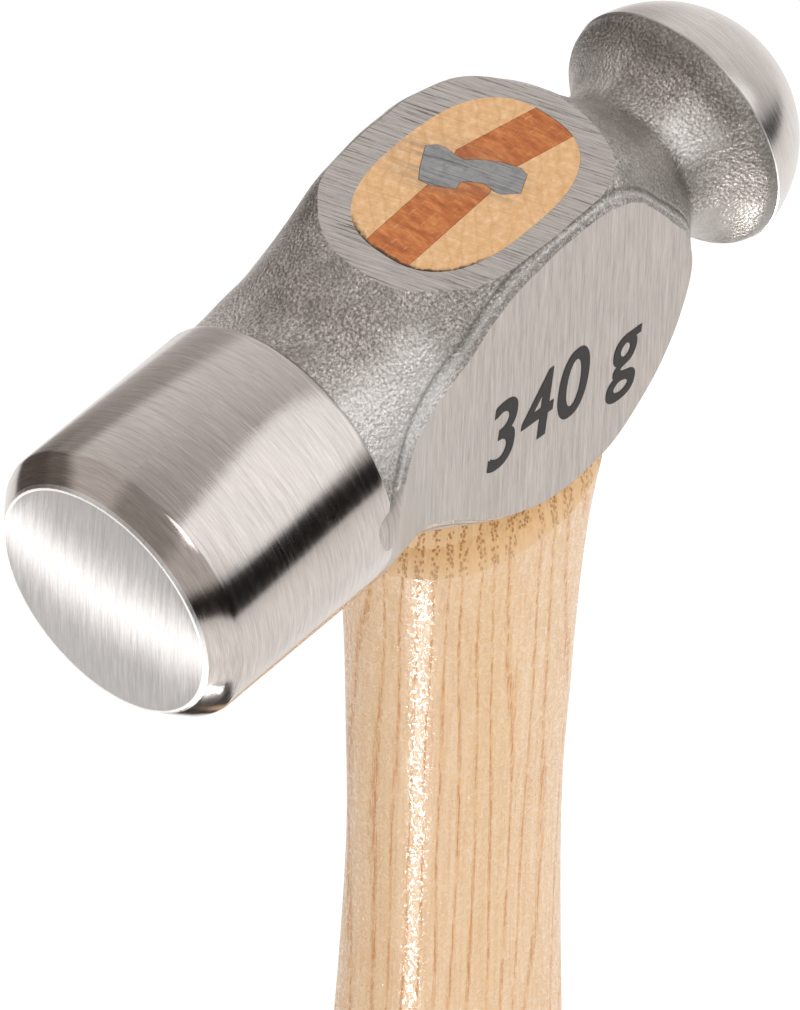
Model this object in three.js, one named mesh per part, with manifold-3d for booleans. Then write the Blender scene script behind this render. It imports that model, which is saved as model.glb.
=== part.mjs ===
// Ball peen hammer: a forged steel head on an ash handle, held by a wooden wedge and a steel wedge.
// Millimetres. +Z runs up the handle to the top of the head, -X is the striking face, +X the ball.
// The origin is the centre of the flat at the butt end of the handle.
import * as THREE from 'three';
import { mergeVertices } from 'three/addons/utils/BufferGeometryUtils.js';
import Module from 'manifold-3d';

// ---- driving dimensions --------------------------------------------------------------------------
const hammerLength = 330;      // butt flat to the ground top of the head

// poll: the turned and ground striking end
const pollRadius = 14.3;
const faceX = -50.2;           // rim of the striking face
const faceRimRadius = 12.1;
const faceCrown = 0.6;         // how far the middle of the face stands out past its rim
const faceFlatRadius = 3;      // flat spot in the middle of the crown
const faceBevelLength = 2.7;
const pollBackX = -26.9;       // circular edge where the ground cylinder ends
const pollStep = 0.6;          // the forging behind that edge is this much slimmer

// eye block: forged body between poll and ball, ground flat above, below and on both cheeks
const headTopHeight = 16.9;    // top flat above the axis of the poll
const headUnderDepth = 18.6;   // underside below the same axis
const cheekHalfWidth = 11.4;
const cheekFlatStartX = -17;   // from here towards the poll the ground cheeks sweep outwards
const cheekSweepRadius = 17;
const cheekFlatEndX = 17.6;

// ball end
const ballCentreX = 26.3;
const ballRadius = 12.6;
const ballRimX = 28.3;         // edge between the ground ball and its forged underside
const ballNeckX = 20.5;
const ballNeckRadius = 8.3;

// eye and tenon
const eyeHalfLength = 11.5;    // along X, at the top and bottom mouths
const eyeHalfWidth = 7.9;       // along Y
const eyeWaist = 0.7;          // how much narrower the eye is at half height
const eyeCentreX = -2.2;
const eyeSquareness = 2.6;
const fitGap = 0.3;            // clearance between pieces that touch

// handle
const shoulderHalfLength = 15.3;
const shoulderHalfWidth = 11;
const shoulderSlope = 5;       // length of the sloped shoulder under the head
const shoulderInset = 2.6;     // how far the slope comes in
const throatBelowAxis = 82;    // slimmest place of the handle, below the poll axis
const throatHalfLength = 11.8;
const throatHalfWidth = 8.5;
const gripHeight = 96;         // fullest place of the grip
const gripHalfLength = 16.6;
const gripHalfWidth = 12.4;
const buttHalfLength = 15.2;
const buttHalfWidth = 11.6;
const buttRound = 5;
const handleSquareness = 2.15;

// wooden wedge, driven along the long axis of the eye
const woodWedgeDepth = 24;
const woodWedgeTopWidth = 4.9;
const woodWedgeTipWidth = 1.6;

// steel wedge, driven across the wooden one
const steelWedgeLength = 9.6;
const steelWedgeDepth = 12;
const steelWedgeHalfHead = 2.4;
const steelWedgeHalfWaist = 1.2;
const steelWedgeHalfTail = 1.85;
const steelWedgeTip = 0.35;    // thickness at the tip, as a share of the thickness at the top
const steelWedgeTurn = -63;    // degrees from +X to the wedge's tail
const steelWedgeX = -0.6;
const steelWedgeY = 0.1;

const axisHeight = hammerLength - headTopHeight;
const undersideHeight = axisHeight - headUnderDepth;
const seatHeight = undersideHeight - fitGap;

// ---- solids --------------------------------------------------------------------------------------
const wasm = await Module();
wasm.setup();

function solid(geometry) {
  geometry.deleteAttribute('normal');
  geometry.deleteAttribute('uv');
  const merged = mergeVertices(geometry, 1e-4);
  return new wasm.Manifold(new wasm.Mesh({
    numProp: 3,
    vertProperties: merged.attributes.position.array,
    triVerts: new Uint32Array(merged.index.array),
  }));
}

function geometryOf(manifold) {
  const mesh = manifold.getMesh();
  const geometry = new THREE.BufferGeometry();
  geometry.setAttribute('position', new THREE.BufferAttribute(mesh.vertProperties, 3));
  geometry.setIndex(new THREE.BufferAttribute(mesh.triVerts, 1));
  geometry.computeVertexNormals();
  return geometry;
}

// Radius of a squarish oval at an angle; a squareness of 2 is a true ellipse.
function ovalRadius(angle, halfA, halfB, squareness) {
  const a = Math.abs(Math.cos(angle) / halfA) ** squareness;
  const b = Math.abs(Math.sin(angle) / halfB) ** squareness;
  return (a + b) ** (-1 / squareness);
}

// A closed solid along Z through stations, its section at each height given by radiusAt(z, angle).
function loftZ(heights, radiusAt, segments) {
  const profile = heights.map((z) => new THREE.Vector2(1, z));
  profile.unshift(new THREE.Vector2(0, heights[0]));
  profile.push(new THREE.Vector2(0, heights[heights.length - 1]));
  const geometry = new THREE.LatheGeometry(profile, segments);
  geometry.rotateX(Math.PI / 2);
  const position = geometry.attributes.position;
  for (let i = 0; i < position.count; i++) {
    const x = position.getX(i);
    const y = position.getY(i);
    const z = position.getZ(i);
    if (Math.hypot(x, y) < 0.5) continue;
    const angle = Math.round(Math.atan2(y, x) * 1e5) / 1e5;
    const radius = radiusAt(z, angle);
    position.setXY(i, radius * Math.cos(angle), radius * Math.sin(angle));
  }
  return solid(geometry);
}

// The same along X: angle 0 points to +Y and a quarter turn to +Z.
function loftX(stations, radiusAt, segments) {
  return loftZ(stations, radiusAt, segments).transform([0, 1, 0, 0, 0, 0, 1, 0, 1, 0, 0, 0, 0, 0, 0, 1]);
}

function steps(start, end, count) {
  return Array.from({ length: count + 1 }, (_, i) => start + (end - start) * i / count);
}

// A smooth curve through a few [place, value] pairs.
function smooth(pairs) {
  const curve = new THREE.SplineCurve(pairs.map(([x, y]) => new THREE.Vector2(x, y)));
  const table = curve.getPoints(pairs.length * 24);
  return (x) => {
    const next = table.findIndex((p) => p.x > x);
    if (next === 0) return table[0].y;
    if (next < 0) return table[table.length - 1].y;
    const a = table[next - 1];
    const b = table[next];
    return a.y + (b.y - a.y) * (x - a.x) / (b.x - a.x);
  };
}

function prism(points, depth) {
  const shape = new THREE.Shape(points.map(([x, y]) => new THREE.Vector2(x, y)));
  return new THREE.ExtrudeGeometry(shape, { depth, bevelEnabled: false });
}

// ---- head ----------------------------------------------------------------------------------------
function poll() {
  const points = [[0, faceX - faceCrown]];
  for (const t of steps(0, 1, 5)) {
    points.push([THREE.MathUtils.lerp(faceFlatRadius, faceRimRadius, t), faceX - faceCrown * (1 - t * t)]);
  }
  points.push([pollRadius, faceX + faceBevelLength], [pollRadius, pollBackX], [0, pollBackX]);
  const profile = points.map(([r, x]) => new THREE.Vector2(r, x));
  const geometry = new THREE.LatheGeometry(profile, 64);
  geometry.rotateZ(-Math.PI / 2);
  return solid(geometry);
}

function ball() {
  const rimAngle = Math.acos((ballRimX - ballCentreX) / ballRadius);
  const rimRadius = ballRadius * Math.sin(rimAngle);
  const flare = new THREE.SplineCurve([
    new THREE.Vector2(ballNeckRadius, ballNeckX - 4),
    new THREE.Vector2(ballNeckRadius, ballNeckX),
    new THREE.Vector2(ballNeckRadius + 0.35, ballNeckX + 2.5),
    new THREE.Vector2(ballNeckRadius + 2.1, ballNeckX + 5),
    new THREE.Vector2(rimRadius - 0.4, ballRimX - 1.3),
    new THREE.Vector2(rimRadius, ballRimX),
  ]).getPoints(14);
  const dome = steps(rimAngle, 0, 10).slice(1).map((a) => (
    new THREE.Vector2(ballRadius * Math.sin(a), ballCentreX + ballRadius * Math.cos(a))));
  dome[dome.length - 1].x = 0;
  const profile = [new THREE.Vector2(0, ballNeckX - 4), ...flare, ...dome];
  const geometry = new THREE.LatheGeometry(profile, 48);
  geometry.rotateZ(-Math.PI / 2);
  return solid(geometry);
}

// Forged block before grinding: half height, half width and squareness of its section along X.
// Its underside is rounder than its top. Places are shares of the way to the poll or to the ball's neck.
function forgedBlock() {
  const startX = pollBackX - 4;
  const endX = ballNeckX + 0.5;
  const pollEnd = pollRadius - pollStep;
  const ballEnd = ballNeckRadius - 0.3;
  const along = (start, rows, end) => smooth([[startX, start], [pollBackX, start],
    ...rows.map(([share, value]) => [share < 0 ? -share * pollBackX : share * endX, value]), [endX, end]]);
  const top = (beyond) => headTopHeight + beyond;
  const under = (beyond) => headUnderDepth + beyond;
  const wide = (beyond) => cheekHalfWidth + beyond;
  const halfTop = along(pollEnd, [[-0.86, top(-3.2)], [-0.7, top(-1.2)], [-0.52, top(0.8)], [-0.34, top(2.7)],
    [0, top(1.5)], [0.335, top(1.9)], [0.54, top(0.2)], [0.69, top(-3)], [0.84, top(-6)]], ballEnd);
  const halfUnder = along(pollEnd, [[-0.78, under(-4.8)], [-0.52, under(-2.2)], [-0.34, under(0.6)],
    [-0.08, under(3.4)], [0.27, under(3.4)], [0.53, under(0.2)], [0.68, under(-2.9)], [0.82, under(-6.8)]], ballEnd);
  const wideTop = along(pollEnd, [[-0.86, wide(1.6)], [-0.7, wide(0.4)], [-0.52, wide(0.7)], [-0.34, wide(1)],
    [0, wide(1.6)], [0.34, wide(1.5)], [0.55, wide(1.5)], [0.74, wide(0.7)], [0.84, wide(-0.5)]], ballEnd);
  const wideUnder = along(pollEnd, [[-0.86, wide(1.7)], [-0.68, wide(1.1)], [-0.48, wide(2.5)], [-0.32, wide(3.5)],
    [-0.05, wide(4.7)], [0.27, wide(4.7)], [0.53, wide(4.2)], [0.66, wide(3.2)], [0.79, wide(1)],
    [0.86, wide(-1)]], ballEnd);
  const squareTop = along(2, [[-0.83, 2.2], [-0.68, 2.6], [-0.52, 2.8], [-0.34, 3.8], [0, 5], [0.335, 4],
    [0.53, 2.8], [0.72, 2.2]], 2);
  const squareUnder = along(2, [[-0.68, 2.2], [-0.38, 2.5], [0.29, 2.5], [0.72, 2.2]], 2);
  const radiusAt = (x, angle) => {
    const upper = ovalRadius(angle, wideTop(x), halfTop(x), squareTop(x));
    const lower = ovalRadius(angle, wideUnder(x), halfUnder(x), squareUnder(x));
    return THREE.MathUtils.lerp(lower, upper, THREE.MathUtils.smoothstep(Math.sin(angle), -0.2, 0.2));
  };
  return loftX(steps(startX, endX, 36), radiusAt, 56);
}

// The space inside the grinding planes: cheeks seen from above, top and underside flats.
function groundEnvelope() {
  const sweep = [];
  const sweepLength = cheekFlatStartX - pollBackX + 6;
  for (const t of steps(1, 0, 10)) {
    const back = sweepLength * t;
    const out = cheekSweepRadius - Math.sqrt(Math.max(cheekSweepRadius ** 2 - back ** 2, 0));
    sweep.push([cheekFlatStartX - back, cheekHalfWidth + out]);
  }
  const side = [...sweep, [cheekFlatEndX, cheekHalfWidth], [ballRimX, cheekHalfWidth]];
  const outline = [...side, ...side.map(([x, y]) => [x, -y]).reverse()];
  const geometry = prism(outline, headTopHeight + headUnderDepth);
  geometry.translate(0, 0, -headUnderDepth);
  return solid(geometry);
}

// The eye narrows to a waist at half height, so that the wedged tenon can't pull out.
function eyeShape(bottom, top, clearance) {
  const middle = (headTopHeight - headUnderDepth) / 2;
  const halfDepth = (headTopHeight + headUnderDepth) / 2;
  const radiusAt = (z, angle) => {
    const fromWaist = Math.min(Math.abs(z - middle) / halfDepth, 1);
    const inset = eyeWaist * (1 - fromWaist ** 2) + clearance;
    return ovalRadius(angle, eyeHalfLength - inset, eyeHalfWidth - inset, eyeSquareness);
  };
  return loftZ(steps(bottom, top, 8), radiusAt, 48).translate([eyeCentreX, 0, 0]);
}

function head() {
  const block = forgedBlock().intersect(groundEnvelope());
  const eye = eyeShape(-headUnderDepth - 1, headTopHeight + 1, 0);
  return block.add(poll()).add(ball()).subtract(eye);
}

// ---- wedges, in the head's own frame -------------------------------------------------------------
// Seen from above the wooden wedge bends a little where the steel one crosses it; below it thins out.
function woodWedgeSlab(clearance) {
  const depth = woodWedgeDepth + clearance + (clearance ? 1 : 0);
  const half = woodWedgeTopWidth / 2 + clearance;
  const reach = eyeHalfLength + 1;
  const middleLine = [[eyeCentreX - reach, -0.8], [steelWedgeX - 1, -0.3], [steelWedgeX + 1, 0.5],
    [eyeCentreX + reach, -1.6]];
  const outline = [...middleLine.map(([x, y]) => [x, y - half]),
    ...middleLine.map(([x, y]) => [x, y + half]).reverse()];
  const geometry = prism(outline, depth);
  geometry.translate(0, 0, headTopHeight - woodWedgeDepth - clearance);
  const position = geometry.attributes.position;
  const tipShare = woodWedgeTipWidth / woodWedgeTopWidth;
  for (let i = 0; i < position.count; i++) {
    const atTip = position.getZ(i) < headTopHeight - depth / 2;
    if (atTip) position.setY(i, position.getY(i) * tipShare);
  }
  return solid(geometry);
}

// Barbed outline of the steel wedge: a thick head, a slim waist and a thinner tail.
function steelWedgeSolid(clearance) {
  const half = steelWedgeLength / 2 + clearance;
  const headHalf = steelWedgeHalfHead + clearance;
  const waistHalf = steelWedgeHalfWaist + clearance;
  const tailHalf = steelWedgeHalfTail + clearance;
  const outline = [[-half, -0.8 * headHalf], [-0.3 * half, -headHalf], [-0.15 * half, -waistHalf],
    [0.3 * half, -waistHalf], [0.65 * half, -tailHalf], [half, -0.8 * tailHalf],
    [half, 0.6 * tailHalf], [0.85 * half, tailHalf], [0.1 * half, 0.95 * tailHalf],
    [-0.25 * half, waistHalf], [-0.6 * half, 0.95 * headHalf], [-0.8 * half, headHalf], [-half, 0.85 * headHalf]];
  const depth = steelWedgeDepth + clearance;
  const geometry = prism(outline, depth + (clearance ? 1 : 0));
  geometry.translate(0, 0, headTopHeight - depth);
  const position = geometry.attributes.position;
  for (let i = 0; i < position.count; i++) {
    const atTip = position.getZ(i) < headTopHeight - depth / 2;
    if (atTip) position.setY(i, position.getY(i) * steelWedgeTip);
  }
  geometry.rotateZ(THREE.MathUtils.degToRad(steelWedgeTurn));
  geometry.translate(steelWedgeX, steelWedgeY, 0);
  return solid(geometry);
}

function woodWedge() {
  const inEye = eyeShape(-headUnderDepth, headTopHeight, fitGap);
  return woodWedgeSlab(0).intersect(inEye).subtract(steelWedgeSolid(fitGap));
}

// ---- handle --------------------------------------------------------------------------------------
// How far a round of this radius pulls the surface in, at a distance from the end face.
function roundedInset(distance, radius) {
  const short = THREE.MathUtils.clamp(radius - distance, 0, radius);
  return radius - Math.sqrt(radius ** 2 - short ** 2);
}

// The shoulder under the head is cut back to a soft slope.
function slopeInset(distance) {
  return shoulderInset * THREE.MathUtils.clamp(1 - distance / shoulderSlope, 0, 1) ** 1.6;
}

function shaft() {
  const throatHeight = axisHeight - throatBelowAxis;
  const upper = seatHeight - throatHeight;
  const lower = throatHeight - gripHeight;
  const halfCurve = (butt, grip, throat, shoulder) => smooth([[0, butt], [gripHeight * 0.45, (butt + grip) / 2],
    [gripHeight, grip], [gripHeight + lower * 0.5, throat + (grip - throat) * 0.55], [throatHeight, throat],
    [throatHeight + upper * 0.42, throat + (shoulder - throat) * 0.08],
    [throatHeight + upper * 0.75, throat + (shoulder - throat) * 0.38], [seatHeight, shoulder]]);
  const halfLength = halfCurve(buttHalfLength, gripHalfLength, throatHalfLength, shoulderHalfLength);
  const halfWidth = halfCurve(buttHalfWidth, gripHalfWidth, throatHalfWidth, shoulderHalfWidth);
  const radiusAt = (z, angle) => {
    const inset = roundedInset(z, buttRound) + slopeInset(seatHeight - z);
    return ovalRadius(angle, halfLength(z) - inset, halfWidth(z) - inset, handleSquareness);
  };
  const heights = [...steps(0, Math.PI / 2, 4).map((a) => buttRound * (1 - Math.cos(a))),
    ...steps(buttRound, seatHeight - shoulderSlope, 34).slice(1),
    ...steps(seatHeight - shoulderSlope, seatHeight, 4).slice(1)];
  return loftZ(heights, radiusAt, 48);
}

function handle() {
  const tenon = eyeShape(-headUnderDepth - 3, headTopHeight, fitGap)
    .subtract(woodWedgeSlab(fitGap))
    .subtract(steelWedgeSolid(fitGap))
    .translate([0, 0, axisHeight]);
  return shaft().add(tenon);
}

// ---- assembly ------------------------------------------------------------------------------------
const forgedSteel = new THREE.MeshStandardMaterial({ color: 0x9a9591, roughness: 0.38, metalness: 1 });
const ash = new THREE.MeshStandardMaterial({ color: 0xe3bf92, roughness: 0.42, metalness: 0 });
const redHardwood = new THREE.MeshStandardMaterial({ color: 0xb0602f, roughness: 0.6, metalness: 0 });
const mildSteel = new THREE.MeshStandardMaterial({ color: 0x85827f, roughness: 0.45, metalness: 1 });

function piece(name, manifold, material) {
  const mesh = new THREE.Mesh(geometryOf(manifold), material);
  mesh.name = name;
  return mesh;
}

const headAssembly = new THREE.Group();
headAssembly.position.z = axisHeight;
headAssembly.add(piece('head', head(), forgedSteel));
headAssembly.add(piece('wood_wedge', woodWedge(), redHardwood));
headAssembly.add(piece('steel_wedge', steelWedgeSolid(0), mildSteel));

const hammer = new THREE.Group();
hammer.add(headAssembly);
hammer.add(piece('handle', handle(), ash));

export default hammer;
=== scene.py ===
"""Ball peen hammer: a forged steel head wedged on an ash handle.

Metres, +Z up the handle, -X the striking face, +X the ball. Pieces are shaped in millimetres round the axis
of the poll, and each mesh is then set in its place on the frame.
"""

import math

import bmesh
import bpy
import numpy as np
from mathutils import Matrix, Quaternion, Vector, noise


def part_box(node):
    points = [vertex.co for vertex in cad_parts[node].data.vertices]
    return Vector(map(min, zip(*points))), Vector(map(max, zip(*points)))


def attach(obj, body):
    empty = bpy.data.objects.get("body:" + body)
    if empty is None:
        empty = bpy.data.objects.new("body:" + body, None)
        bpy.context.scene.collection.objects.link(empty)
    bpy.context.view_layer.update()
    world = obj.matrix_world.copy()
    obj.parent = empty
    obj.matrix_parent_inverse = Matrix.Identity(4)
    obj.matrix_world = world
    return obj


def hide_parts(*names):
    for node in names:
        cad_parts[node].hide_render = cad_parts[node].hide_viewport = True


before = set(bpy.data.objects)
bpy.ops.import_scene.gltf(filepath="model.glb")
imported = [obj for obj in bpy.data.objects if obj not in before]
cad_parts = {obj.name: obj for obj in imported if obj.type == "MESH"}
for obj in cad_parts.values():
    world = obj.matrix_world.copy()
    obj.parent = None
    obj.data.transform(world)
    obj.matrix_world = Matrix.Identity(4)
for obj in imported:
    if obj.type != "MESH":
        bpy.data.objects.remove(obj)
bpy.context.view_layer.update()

# ---- Head: shapes --------------------------------------------------------------------------------
# One forging of carbon steel, shot-blasted all over. The poll is turned, the ball is turned to its rim,
# and a grinding wheel has cut both cheeks, the top and the underside. The eye goes right through.
MM = 0.001
TOP_HEIGHT = 16.9
_, head_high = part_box("head")
AXIS_HEIGHT = head_high.z - TOP_HEIGHT * MM

POLL_RADIUS = 14.3
POLL_BACK = -26.9
FACE_RIM_X = -50.2
FACE_RIM_RADIUS = 12.1
FACE_CROWN = 0.6
UNDER_DEPTH = 18.6
CHEEK_HALF = 11.4
CHEEK_SWEEP_START = -17
WHEEL_RADIUS = 17
BALL_CENTRE = 26.3
BALL_RADIUS = 12.6
BALL_RIM_X = 28.3
NECK_X = 20.5
NECK_RADIUS = 8.3
EYE_CENTRE = -2.2
EYE_SIDE = -0.45
EYE_HALF_LENGTH = 11.5
EYE_HALF_WIDTH = 7.9
EYE_WAIST = 0.7
EYE_SQUARENESS = 2.6
FORGING_FROM, FORGING_TO = -30.9, 21
SHOULDER_DROP = 1.3
LUMP_HEIGHT = 0.12

# Finish of each face of the head, by material slot.
FORGED, TOP_GROUND, CHEEK_GROUND, POLL_BRUSHED, FACE_BRUSHED, BALL_TURNED, FACE_RIM = range(7)


def oval_radius(angle, half_a, half_b, squareness):
    """Distance to the edge of a squarish oval; a squareness of 2 is an ellipse."""
    along = abs(math.cos(angle) / half_a) ** squareness
    across = abs(math.sin(angle) / half_b) ** squareness
    return (along + across) ** (-1 / squareness)


def smooth_curve(rows):
    """A smooth line through (place, value) rows, as a function of the place."""
    rows = np.array([rows[0], *rows, rows[-1]], float)
    share = np.linspace(0, 1, 16, endpoint=False)[:, None]
    spans = [
        0.5 * (2 * b + (c - a) * share + (2 * a - 5 * b + 4 * c - d) * share**2
               + (3 * b - a - 3 * c + d) * share**3)
        for a, b, c, d in zip(rows, rows[1:], rows[2:], rows[3:])
    ]
    table = np.vstack([*spans, rows[-1:]])
    return lambda place: float(np.interp(place, table[:, 0], table[:, 1]))


def smoothstep(value, low, high):
    share = min(max((value - low) / (high - low), 0), 1)
    return share * share * (3 - 2 * share)


def lofted(rings, point_at, segments):
    """A closed solid from a cylinder cut into rings, each vertex then set by its ring and angle."""
    bm = bmesh.new()
    spans = len(rings) - 1
    bmesh.ops.create_cone(bm, cap_ends=True, segments=segments, radius1=1, radius2=1, depth=spans)
    upright = [e for e in bm.edges if abs(e.verts[0].co.z - e.verts[1].co.z) > spans / 2]
    bmesh.ops.subdivide_edges(bm, edges=upright, cuts=spans - 1)
    for v in bm.verts:
        ring = rings[round(v.co.z + spans / 2)]
        v.co = point_at(ring, math.atan2(v.co.y, v.co.x))
    bmesh.ops.recalc_face_normals(bm, faces=bm.faces)
    return bm


def turned(profile, segments):
    """A solid of revolution about X from (x, radius) rows."""
    bm = bmesh.new()
    points = [bm.verts.new((x, 0, radius)) for x, radius in profile]
    line = [bm.edges.new(pair) for pair in zip(points, points[1:])]
    bmesh.ops.spin(bm, geom=points + line, axis=(1, 0, 0), cent=(0, 0, 0), steps=segments, angle=math.tau,
                   use_merge=True)
    bmesh.ops.remove_doubles(bm, verts=bm.verts, dist=1e-4)
    bmesh.ops.recalc_face_normals(bm, faces=bm.faces)
    return bm


def as_object(bm, name):
    mesh = bpy.data.meshes.new(name)
    bm.to_mesh(mesh)
    bm.free()
    made = bpy.data.objects.new(name, mesh)
    bpy.context.collection.objects.link(made)
    return made


def cut(body, tool, operation):
    """Cuts a closed mesh with another, or joins them. Faces keep their material numbers."""
    step = body.modifiers.new(operation, "BOOLEAN")
    step.object, step.operation, step.solver, step.material_mode = tool, operation, "EXACT", "INDEX"
    result = bpy.data.meshes.new_from_object(body.evaluated_get(bpy.context.evaluated_depsgraph_get()))
    body.modifiers.remove(step)
    body.data = result
    bpy.data.objects.remove(tool)
    return body


# Half height, half width and squareness of the forging's section at places along X.
top, under, wide = TOP_HEIGHT, UNDER_DEPTH, CHEEK_HALF
skin = POLL_RADIUS - 0.6
end_skin = NECK_RADIUS - 0.3
half_top = smooth_curve([
    (FORGING_FROM, skin), (-26.9, skin), (-23.1, top - 2.9), (-18.8, top - 0.9), (-14, top + 1.0),
    (-9.1, top + 2.7), (0, top + 1.5), (7, top + 1.9), (11.3, top + 0.2), (14.5, top - 3), (17.6, top - 6),
    (FORGING_TO, end_skin)])
half_under = smooth_curve([
    (FORGING_FROM, skin), (-26.9, skin + 0.4), (-21, under - 4.8), (-14, under - 2.2), (-9.1, under + 0.6),
    (-2.2, under + 3.4), (5.7, under + 3.4), (11.1, under + 0.2), (14.3, under - 2.9), (17.2, under - 6.8),
    (FORGING_TO, end_skin)])
wide_top = smooth_curve([
    (FORGING_FROM, skin), (-26.9, skin), (-23.1, wide + 1.9), (-18.8, wide + 0.9), (-14, wide + 0.9),
    (-9.1, wide + 1), (0, wide + 1.6), (7.1, wide + 1.5), (11.5, wide + 1.5), (15.5, wide + 0.7),
    (17.6, wide - 0.5),
    (FORGING_TO, end_skin)])
wide_under = smooth_curve([
    (FORGING_FROM, POLL_RADIUS - 0.1), (-26.9, POLL_RADIUS - 0.02), (-23.1, wide + 2.2),
    (-18.3, wide + 1.4), (-12.9, wide + 2.5), (-8.6, wide + 3.5), (-1.3, wide + 4.7), (5.7, wide + 4.7),
    (11.1, wide + 4.2), (13.9, wide + 3.2), (16.6, wide + 1), (18.1, wide - 1), (FORGING_TO, end_skin)])
square_top = smooth_curve([
    (FORGING_FROM, 2), (-26.9, 2), (-22.3, 2.35), (-18.3, 2.8), (-14, 3.1), (-9.1, 3.9), (0, 5), (7, 4),
    (11.1, 2.8), (15.1, 2.2), (FORGING_TO, 2)])
square_under = smooth_curve([
    (FORGING_FROM, 2), (-26.9, 2), (-18.3, 2.2), (-10.2, 2.5), (6.1, 2.5), (15.1, 2.2), (FORGING_TO, 2)])


def forging_point(x, angle):
    """Angle 0 points to +Y and a quarter turn to +Z. The underside is rounder than the top."""
    upper = oval_radius(angle, wide_top(x), half_top(x), square_top(x))
    lower = oval_radius(angle, wide_under(x), half_under(x), square_under(x))
    rise = smoothstep(-x, 19, 26) * 0.4
    share = smoothstep(math.sin(angle), rise - 0.2, rise + 0.2 - rise / 4)
    radius = lower + (upper - lower) * share
    if 0 < angle < math.pi / 2:  # the far shoulder above the neck came out of the die a little low
        radius -= SHOULDER_DROP * smoothstep(x, 0, 12) * smoothstep(22 - x, 0, 4) * math.sin(2 * angle)
    lump = noise.noise(Vector((x, radius * math.cos(angle), radius * math.sin(angle))) * 0.28)
    radius += LUMP_HEIGHT * lump
    return x, radius * math.cos(angle), radius * math.sin(angle)


forging = lofted(list(np.linspace(FORGING_FROM, FORGING_TO, 131)), forging_point, 176)
for height, facing in ((TOP_HEIGHT, 1), (-UNDER_DEPTH, -1)):
    parted = bmesh.ops.bisect_plane(forging, geom=forging.verts[:] + forging.edges[:] + forging.faces[:],
                                    plane_co=(0, 0, height), plane_no=(0, 0, facing), clear_outer=True)
    rim = [e for e in parted["geom_cut"] if isinstance(e, bmesh.types.BMEdge)]
    for face in bmesh.ops.contextual_create(forging, geom=rim)["faces"]:
        face.material_index = TOP_GROUND
head = as_object(forging, "hammer_head")

# The wheel that grinds a cheek: flat along the cheek, round where it leaves it towards the poll.
for side in (-1, 1):
    wheel = bmesh.new()
    length, width = 60, 2 * WHEEL_RADIUS
    bmesh.ops.create_cube(wheel, size=1)
    bmesh.ops.scale(wheel, verts=wheel.verts, vec=(length, width, 60))
    bmesh.ops.translate(wheel, verts=wheel.verts, vec=(
        CHEEK_SWEEP_START - WHEEL_RADIUS + length / 2, side * (CHEEK_HALF + width / 2), 0))
    corner = [e for e in wheel.edges
              if all(v.co.x < CHEEK_SWEEP_START and side * v.co.y < CHEEK_HALF + 0.6 for v in e.verts)]
    bmesh.ops.bevel(wheel, geom=corner, offset=WHEEL_RADIUS - 0.01, offset_type="OFFSET", affect="EDGES",
                    segments=48, profile=0.5, material=-1)
    for face in wheel.faces:
        face.material_index = CHEEK_GROUND
    cut(head, as_object(wheel, "wheel"), "DIFFERENCE")

# Poll: crowned face, a thin chamfer round it painted bright as a highlight, a bevel, the cylinder, and a
# soft step behind it.
crown = [(FACE_RIM_X - FACE_CROWN * (1 - (r / FACE_RIM_RADIUS) ** 2), r)
         for r in np.linspace(0, FACE_RIM_RADIUS - 0.25, 14)]
poll = turned([
    *crown, (FACE_RIM_X + 0.02, FACE_RIM_RADIUS), (FACE_RIM_X + 0.28, FACE_RIM_RADIUS + 0.24),
    (FACE_RIM_X + 1.45, FACE_RIM_RADIUS + 1.25), (FACE_RIM_X + 2.45, POLL_RADIUS - 0.16),
    (FACE_RIM_X + 2.85, POLL_RADIUS), (POLL_BACK - 0.5, POLL_RADIUS), (POLL_BACK - 0.1, POLL_RADIUS - 0.1),
    (POLL_BACK + 0.5, POLL_RADIUS - 0.75), (POLL_BACK + 2, POLL_RADIUS - 3), (POLL_BACK + 2, 0)], 160)
for face in poll.faces:
    x, radius = face.calc_center_median().x, math.hypot(*face.calc_center_median().yz)
    if x > POLL_BACK:
        face.material_index = FORGED
    elif radius < FACE_RIM_RADIUS - 0.25:
        face.material_index = FACE_BRUSHED
    elif x < FACE_RIM_X + 0.2:
        face.material_index = FACE_RIM
    else:
        face.material_index = POLL_BRUSHED
cut(head, as_object(poll, "poll"), "UNION")

# Ball: forged neck and mushroom underside, then the turned half ball behind a thin edge painted bright as a
# highlight.
rim_angle = math.acos((BALL_RIM_X - BALL_CENTRE) / BALL_RADIUS)
rim_radius = BALL_RADIUS * math.sin(rim_angle)
flare = smooth_curve([(NECK_X - 5, NECK_RADIUS), (NECK_X, NECK_RADIUS), (NECK_X + 2.5, NECK_RADIUS + 0.35),
                      (NECK_X + 5, NECK_RADIUS + 2.1), (BALL_RIM_X - 1.3, rim_radius - 0.45),
                      (BALL_RIM_X, rim_radius - 0.12)])
dome = [(BALL_CENTRE + BALL_RADIUS * math.cos(a), BALL_RADIUS * math.sin(a))
        for a in np.linspace(rim_angle, 0, 40)]
underside = [(x, flare(x)) for x in np.linspace(NECK_X - 5, BALL_RIM_X - 0.08, 40)]
ball = turned([(NECK_X - 5, 0), *underside, *dome], 144)
for face in ball.faces:
    x = face.calc_center_median().x
    if x > BALL_RIM_X - 0.07:
        face.material_index = BALL_TURNED if x > BALL_RIM_X else FACE_RIM
cut(head, as_object(ball, "ball"), "UNION")


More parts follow.
